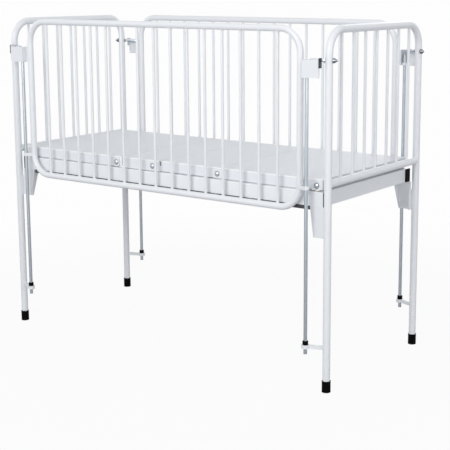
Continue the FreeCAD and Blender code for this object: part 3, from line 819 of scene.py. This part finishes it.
@dataclass
class DropSide:
    """Barred drop side with its latch plates and straps."""

    side: Side
    nodes: Nodes
    tube_radius: float = 11.0 * MM
    bar_count: int = 15
    bar_radius: float = 5.0 * MM
    half_length: float = 600.0 * MM
    plane_y: float = 312.0 * MM
    rod_x: float = 632.0 * MM
    rod_y: float = 324.0 * MM
    collar_z: float = 664.0 * MM
    collar_height: float = 12.0 * MM
    collar_half_width: float = 9.6 * MM
    plate_z: Span = (1019.0 * MM, 1075.0 * MM)
    plate_sheet: float = 2.0 * MM
    seam_end_gap: float = 3.0 * MM
    seam_lift: Span = (0.3 * MM, 0.2 * MM)
    pad_low: Place = (681.8 * MM, 321.3 * MM, 1050.7 * MM)
    pad_high: Place = (684.0 * MM, 335.8 * MM, 1080.4 * MM)
    pad_rounding: float = 0.7 * MM

    def build(self) -> None:
        """Dresses the nodes, welds the bars and fittings and fits the latch pads."""
        name = self.side.value
        white = [name + part for part in ("_rail_loop", "_rail_bars", "_rail_collars")]
        white += [f"{name}_{end.value}_latch_plate" for end in End]
        paint(self.nodes, white, WHITE_COAT)
        low, high = (Vector(corner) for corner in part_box(name + "_rail_loop"))
        beads = WeldBeads(name + "_rail_welds", name + "_rail", WHITE_COAT)
        row = BarRow(
            name + "_rail_bars", self.bar_count, self.bar_radius, self.tube_radius,
            low.z + self.tube_radius, high.z - self.tube_radius, LENGTHWISE)
        row.weld(beads)
        for end in End:
            self.weld_fittings(beads, end)
            self.add_pad(end)
        beads.done()

    def weld_fittings(self, beads: WeldBeads, end: End) -> None:
        """Beads of the strap and the latch plate on one upright.

        Args:
            beads: The beads that get them.
            end: The upright's end.
        """
        way, out, z = end.sign, self.side.sign, self.collar_z
        upright = Vector((way * self.half_length, out * self.plane_y, z))
        rod = Vector((way * self.rod_x, out * self.rod_y, z))
        beads.web(upright, rod, self.tube_radius, self.collar_half_width, self.collar_height)
        reach = math.sqrt(self.tube_radius ** 2 - self.plate_sheet ** 2)
        x = way * (self.half_length + reach + self.seam_lift[0])
        y = out * (self.plane_y + self.plate_sheet + self.seam_lift[1])
        low, high = self.plate_z[0] + self.seam_end_gap, self.plate_z[1] - self.seam_end_gap
        beads.seam(Vector((x, y, low)), Vector((x, y, high)))

    def add_pad(self, end: End) -> None:
        """Soft edged grey pad over the tab of a latch plate.

        Args:
            end: The plate's end.
        """
        mesh = bmesh.new()
        corners = (self.pad_low, self.pad_high)
        box_corners(mesh, *((end.sign * x, self.side.sign * y, z) for x, y, z in corners))
        soften_edges(mesh, self.pad_rounding, 3)
        name = f"{self.side.value}_{end.value}_latch_pad"
        add_piece(name, mesh, self.side.value + "_rail", GREY_PAD_AND_SHADE)


@dataclass
class GuideRods:
    """The four guide rods with lugs, bumpers and nuts."""

    nodes: Nodes
    rod_x: float = 632.0 * MM
    rod_y: float = 324.0 * MM
    post_x: float = 698.0 * MM
    post_y: float = 300.0 * MM
    post_radius: float = 12.5 * MM
    lug_z: float = 142.0 * MM
    lug_height: float = 12.0 * MM
    arm_half_width: float = 4.5 * MM
    bead_radius: float = 1.2 * MM

    def build(self) -> None:
        """Dresses the nodes and welds the lugs."""
        corners = [f"{side.value}_{end.value}" for side in Side for end in End]
        paint(self.nodes, [corner + "_guide_rod" for corner in corners], ZINC)
        paint(self.nodes, [corner + "_rod_lug" for corner in corners], WHITE_COAT)
        paint(self.nodes, ["rod_bumpers"], BLACK_RUBBER_AND_SHADE)
        paint(self.nodes, ["rod_cone_nuts"], CAP_NUT_PAINTED_REFLECTION)
        paint(self.nodes, ["rod_jam_nuts"], PLAIN_ZINC)
        beads = WeldBeads("rod_lug_welds", "bed_frame", WHITE_COAT, self.bead_radius)
        for end in End:
            for side in Side:
                post = Vector((end.sign * self.post_x, side.sign * self.post_y, self.lug_z))
                rod = Vector((end.sign * self.rod_x, side.sign * self.rod_y, self.lug_z))
                beads.web(post, rod, self.post_radius, self.arm_half_width, self.lug_height)
        beads.done()


@dataclass
class BedFrame:
    """Rectangular tube frame under the deck, on its corner brackets."""

    nodes: Nodes
    bottom_z: float = 607.0 * MM
    top_z: float = 654.0 * MM
    inner_y: float = 262.0 * MM
    member_x: Span = (648.0 * MM, 673.0 * MM)
    member_weld_drop: float = 1.5 * MM
    crossbar_x: tuple[float, ...] = (-165.0 * MM, -135.0 * MM, -75.0 * MM, -45.0 * MM)
    crossbar_z: float = 614.0 * MM
    crossbar_weld_drop: float = 1.0 * MM
    runner_weld_y: float = 288.3 * MM
    bead_drop: float = 0.4 * MM
    stitch_pitch: float = 150.0 * MM
    stitch_length: float = 26.0 * MM
    stitch_count: int = 8
    flange_x: float = 687.5 * MM
    flange_y: float = 292.8 * MM
    flange_weld_z: Span = (507.0 * MM, 578.0 * MM)
    bracket_x: Span = (628.0 * MM, 683.0 * MM)
    bracket_y: float = 288.6 * MM

    def build(self) -> None:
        """Dresses the nodes and welds the tubes and brackets."""
        # The side tubes' coat carries painted light and a painted highlight; the runners' coat
        # carries painted shade.
        paint(self.nodes, [f"{side.value}_side_tube" for side in Side], LIT_TUBE_COAT)
        paint(self.nodes, ["side_tube_runners"], RUNNER_PAINTED_SHADE)
        white = [f"{end.value}_frame_end_member" for end in End]
        white += [f"{side.value}_{end.value}_corner_bracket" for side in Side for end in End]
        white += ["frame_crossbars"]
        paint(self.nodes, white, WHITE_COAT)
        paint(self.nodes, ["side_tube_caps"], BLACK_PLASTIC)
        beads = WeldBeads("bed_frame_welds", "bed_frame", WHITE_COAT)
        for side in Side:
            self.weld_side(beads, side)
            for end in End:
                self.weld_corner(beads, end, side)
        beads.done()

    def weld_side(self, beads: WeldBeads, side: Side) -> None:
        """Beads of the crossbars and the runner on one side tube.

        Args:
            beads: The beads that get them.
            side: The side tube's side.
        """
        y, top = side.sign * self.inner_y, self.top_z - self.crossbar_weld_drop
        for x in self.crossbar_x:
            beads.seam(Vector((x, y, self.crossbar_z)), Vector((x, y, top)))
        y, z = side.sign * self.runner_weld_y, self.bottom_z - self.bead_drop
        for i in range(self.stitch_count):
            x = (i - (self.stitch_count - 1) / 2) * self.stitch_pitch
            beads.seam(Vector((x, y, z)), Vector((x + self.stitch_length, y, z)))

    def weld_corner(self, beads: WeldBeads, end: End, side: Side) -> None:
        """Beads of the end member and the corner bracket at one corner.

        Args:
            beads: The beads that get them.
            end: The corner's end.
            side: The corner's side.
        """
        y = side.sign * self.inner_y
        near, far = (end.sign * x for x in self.member_x)
        low, high = self.bottom_z, self.top_z - self.member_weld_drop
        around = ((far, high), (far, low), (near, low), (near, high))
        beads.seam(*(Vector((x, y, z)) for x, z in around))
        x, y = end.sign * self.flange_x, side.sign * self.flange_y
        beads.seam(*(Vector((x, y, z)) for z in self.flange_weld_z))
        near, far = (end.sign * x for x in self.bracket_x)
        y, z = side.sign * self.bracket_y, self.bottom_z - self.bead_drop
        beads.seam(Vector((near, y, z)), Vector((far, y, z)))


@dataclass(frozen=True)
class BoltRow:
    """One row of the deck's bolts, with its body and the face under the heads."""

    node: str
    body: str
    face_y: float


@dataclass
class Deck:
    """Four deck sections with their bolts, glides, pads and prop bows."""

    nodes: Nodes
    seat_runs: tuple[Span, ...] = ((-176.0 * MM, -8.0 * MM),)
    seat_strip_y: Span = (283.0 * MM, 284.6 * MM)
    seat_strip_z: Span = (654.2 * MM, 655.6 * MM)
    slide_runs: tuple[Span, ...] = ((-640.0 * MM, -228.0 * MM), (-2.0 * MM, 600.0 * MM))
    slide_y: Span = (283.2 * MM, 284.6 * MM)
    slide_z: Span = (654.2 * MM, 656.3 * MM)
    strip_rounding: float = 0.3 * MM
    bolt_rows: tuple[BoltRow, ...] = (
        BoltRow("back_hinge_bolts", "bed_frame", 286.7 * MM),
        BoltRow("thigh_hinge_bolts", "bed_frame", 284.7 * MM),
        BoltRow("knee_hinge_bolts", "thigh_section", 285.2 * MM),
        BoltRow("calf_end_bolts", "calf_section", 285.2 * MM))
    ring_radius: float = 9.1 * MM
    ring_wire: float = 0.6 * MM
    ring_steps: int = 32
    pivot_z: float = 673.0 * MM
    ear_x: float = -207.0 * MM
    ear_y: float = 285.5 * MM
    ear_radius: float = 17.2 * MM
    ear_turn: Span = (25.0, -118.0)
    ear_steps: int = 30
    shadow_line_wire: float = 0.6 * MM

    def build(self) -> None:
        """Dresses the nodes, adds the slide strips, and adds the dark strips, rings and ear line that
        paint shade.
        """
        trays = [part + "_section_tray" for part in ("back", "seat", "thigh", "calf")]
        paint(self.nodes, trays + ["back_prop_channel", "knee_prop_channel"], DECK_COAT)
        paint(self.nodes, [row.node for row in self.bolt_rows], BOLT_ZINC)
        fittings = ["back_prop_pins", "knee_prop_pins", "back_prop_bow", "knee_prop_bow",
                    "back_prop_combs", "knee_prop_combs"]
        paint(self.nodes, fittings, PLAIN_ZINC)
        paint(self.nodes, ["calf_glides"], NYLON)
        paint(self.nodes, ["deck_rest_pads"], BLACK_RUBBER_AND_SHADE)
        # Painted shadow: dark grey strips under the seat's skirts stand for the shadow line in the
        # gap there.
        self.add_strips(
            "seat_shadow_strips", self.seat_runs, self.seat_strip_y, self.seat_strip_z, GREY_PAD_AND_SHADE)
        self.add_strips(
            "section_slide_strips", self.slide_runs, self.slide_y, self.slide_z, WHITE_NYLON)
        self.add_shadow_rings()
        self.add_ear_shadow_line()

    def add_strips(
        self, name: str, runs: Sequence[Span], across: Span, heights: Span, finish: Finish
    ) -> None:
        """Thin strips on both side tubes, under the deck's skirts.

        Args:
            name: The piece's name.
            runs: Start and end of each strip along the bed.
            across: Inner and outer distance from the bed's middle.
            heights: Bottom and top.
            finish: The strips' finish.
        """
        mesh = bmesh.new()
        for side in Side:
            inner, outer = (side.sign * y for y in across)
            for start, end in runs:
                box_corners(mesh, (start, inner, heights[0]), (end, outer, heights[1]))
        soften_edges(mesh, self.strip_rounding, 2)
        add_piece(name, mesh, "bed_frame", finish)

    def add_shadow_rings(self) -> None:
        """Grey rings of painted shade under the bolt heads, on the bodies that carry the bolts."""
        turns = full_circle(self.ring_steps)
        for row in self.bolt_rows:
            low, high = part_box(row.node)
            middle_x = (low[0] + high[0]) / 2
            rings = WeldBeads(row.node + "_rings", row.body, GREY_PAD_AND_SHADE, self.ring_wire, 0.0)
            for side in Side:
                centre = Vector((middle_x, side.sign * row.face_y, self.pivot_z))
                rings.arc(centre, LENGTHWISE, UP, self.ring_radius, turns, True)
            rings.done()

    def add_ear_shadow_line(self) -> None:
        """Dark line of painted shadow round the back section's ears, where they lie over the seat
        section.
        """
        shadow_line = WeldBeads("back_ear_shadow_line", "back_section", BLACK_RUBBER_AND_SHADE, self.shadow_line_wire, 0.0)
        first, last = self.ear_turn
        count = self.ear_steps
        turns = [math.radians(first + (last - first) * i / count) for i in range(count + 1)]
        for side in Side:
            centre = Vector((self.ear_x, side.sign * self.ear_y, self.pivot_z))
            shadow_line.arc(centre, LENGTHWISE, UP, self.ear_radius, turns, False)
        shadow_line.done()


@dataclass(frozen=True)
class Lamp:
    """A square area lamp."""

    name: str
    at: Place
    size: float
    watts: float


@dataclass
class Studio:
    """Camera, soft lamps, pale floor and background."""

    camera_at: Place = (2.4962, -3.2282, 1.3020)
    yaw: float = 0.6038
    pitch: float = -0.1740
    focal_pixels: float = 1109.2
    centre_pixel: Span = (270.0, 180.0)
    frame_pixels: float = 450.0
    sensor: float = 36.0
    background: float = 0.985
    white: Colour = (1.0, 1.0, 1.0)
    world_light: float = 0.52
    world_colour: Colour = (0.97, 0.98, 1.0)
    floor_size: float = 14.0
    floor_clear: float = 0.9
    floor_fade: float = 2.4
    floor_glow: float = 0.96
    floor_colour: Colour = (0.55, 0.555, 0.565)
    floor_grain: float = 900.0
    lamp_target: Place = (0.0, 0.0, 0.7)
    lamps: tuple[Lamp, ...] = (
        Lamp("key", (0.6, -3.9, 3.1), 1.9, 37.0),
        Lamp("front_fill", (0.9, -5.5, 2.1), 4.0, 100.0),
        Lamp("right_fill", (5.2, -0.6, 1.9), 2.4, 50.0),
        Lamp("left_fill", (-5.2, 0.4, 1.9), 2.4, 22.0),
        Lamp("back_fill", (-0.8, 4.8, 2.4), 3.0, 36.0))

    def build(self) -> None:
        """Builds the whole studio."""
        self.add_camera()
        self.add_world()
        self.add_floor()
        for lamp in self.lamps:
            self.add_lamp(lamp)

    def add_camera(self) -> None:
        """Adds the camera solved from the photograph's perspective."""
        data = bpy.data.cameras.new("camera")
        data.sensor_width = self.sensor
        data.lens = self.focal_pixels / self.frame_pixels * self.sensor
        data.shift_x = (self.frame_pixels / 2 - self.centre_pixel[0]) / self.frame_pixels
        data.shift_y = (self.centre_pixel[1] - self.frame_pixels / 2) / self.frame_pixels
        camera = bpy.data.objects.new("camera", data)
        camera.location = self.camera_at
        camera.rotation_euler = (math.pi / 2 + self.pitch, 0.0, self.yaw)
        bpy.context.scene.collection.objects.link(camera)
        bpy.context.scene.camera = camera

    def add_lamp(self, lamp: Lamp) -> None:
        """Adds a lamp that points at the bed.

        Args:
            lamp: The lamp's place, size and power.
        """
        data = bpy.data.lights.new(lamp.name, "AREA")
        data.size = lamp.size
        data.energy = lamp.watts
        made = bpy.data.objects.new(lamp.name, data)
        made.location = lamp.at
        aim = Vector(self.lamp_target) - Vector(lamp.at)
        made.rotation_euler = aim.to_track_quat("-Z", "Y").to_euler()
        bpy.context.scene.collection.objects.link(made)

    def add_world(self) -> None:
        """Even light, with a white background for camera, gloss and glass."""
        graph = Graph(bpy.data.worlds.new("studio"))
        rays = [graph.add("ShaderNodeLightPath", {}, {}, kind)
                for kind in ("Is Camera Ray", "Is Glossy Ray", "Is Transmission Ray")]
        seen = rays[0].larger(rays[1]).larger(rays[2])
        light = graph.glow("ShaderNodeBackground", self.world_colour, self.world_light)
        white = graph.glow("ShaderNodeBackground", self.white, self.background)
        mix = graph.add("ShaderNodeMixShader", {}, {0: seen, 1: light, 2: white})
        graph.add("ShaderNodeOutputWorld", {}, {"Surface": mix})
        bpy.context.scene.world = graph.owner

    def floor_material(self) -> bpy.types.Material:
        """Pale floor that keeps a soft shadow near the bed and fades into the background.

        Returns:
            The material.
        """
        graph = Graph(bpy.data.materials.new("pale floor"))
        spot = graph.add("ShaderNodeTexCoord", {}, {}, "Object")
        far = graph.add("ShaderNodeVectorMath", {"operation": "LENGTH"}, {0: spot}, "Value")
        ends = {"From Min": self.floor_clear, "From Max": self.floor_fade,
                "To Min": self.floor_glow, "To Max": 1.0, "Value": far}
        fade = graph.add("ShaderNodeMapRange", {"interpolation_type": "SMOOTHSTEP"}, ends)
        seen = graph.add("ShaderNodeLightPath", {}, {}, "Is Camera Ray")
        grain = graph.noise(spot, self.floor_grain, 3.0)
        surface = {"Color": rgba(self.floor_colour), "Roughness": grain}
        matt = graph.add("ShaderNodeBsdfDiffuse", {}, surface)
        glow = graph.glow("ShaderNodeEmission", self.white, self.background)
        mix = graph.add("ShaderNodeMixShader", {}, {0: fade * seen, 1: matt, 2: glow})
        graph.add("ShaderNodeOutputMaterial", {}, {"Surface": mix})
        return graph.owner

    def add_floor(self) -> None:
        """Adds the floor."""
        mesh = bmesh.new()
        bmesh.ops.create_grid(mesh, x_segments=4, y_segments=4, size=self.floor_size / 2)
        data = bpy.data.meshes.new("floor")
        mesh.to_mesh(data)
        mesh.free()
        floor = bpy.data.objects.new("floor", data)
        bpy.context.scene.collection.objects.link(floor)
        data.materials.append(self.floor_material())


def clear_scene() -> None:
    """Removes Blender's start-up objects."""
    for obj in list(bpy.data.objects):
        bpy.data.objects.remove(obj)


def main() -> None:
    """Loads the frame, dresses the bed and sets up the studio."""
    logging.basicConfig(level=logging.INFO, format="%(name)s: %(message)s")
    clear_scene()
    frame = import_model()
    nodes = frame["nodes"]
    for end in End:
        EndFrame(end, nodes).build()
    for side in Side:
        DropSide(side, nodes).build()
    GuideRods(nodes).build()
    BedFrame(nodes).build()
    Deck(nodes).build()
    Studio().build()
    bpy.context.scene.view_settings.view_transform = "Standard"


if __name__ == "__main__":
    main()
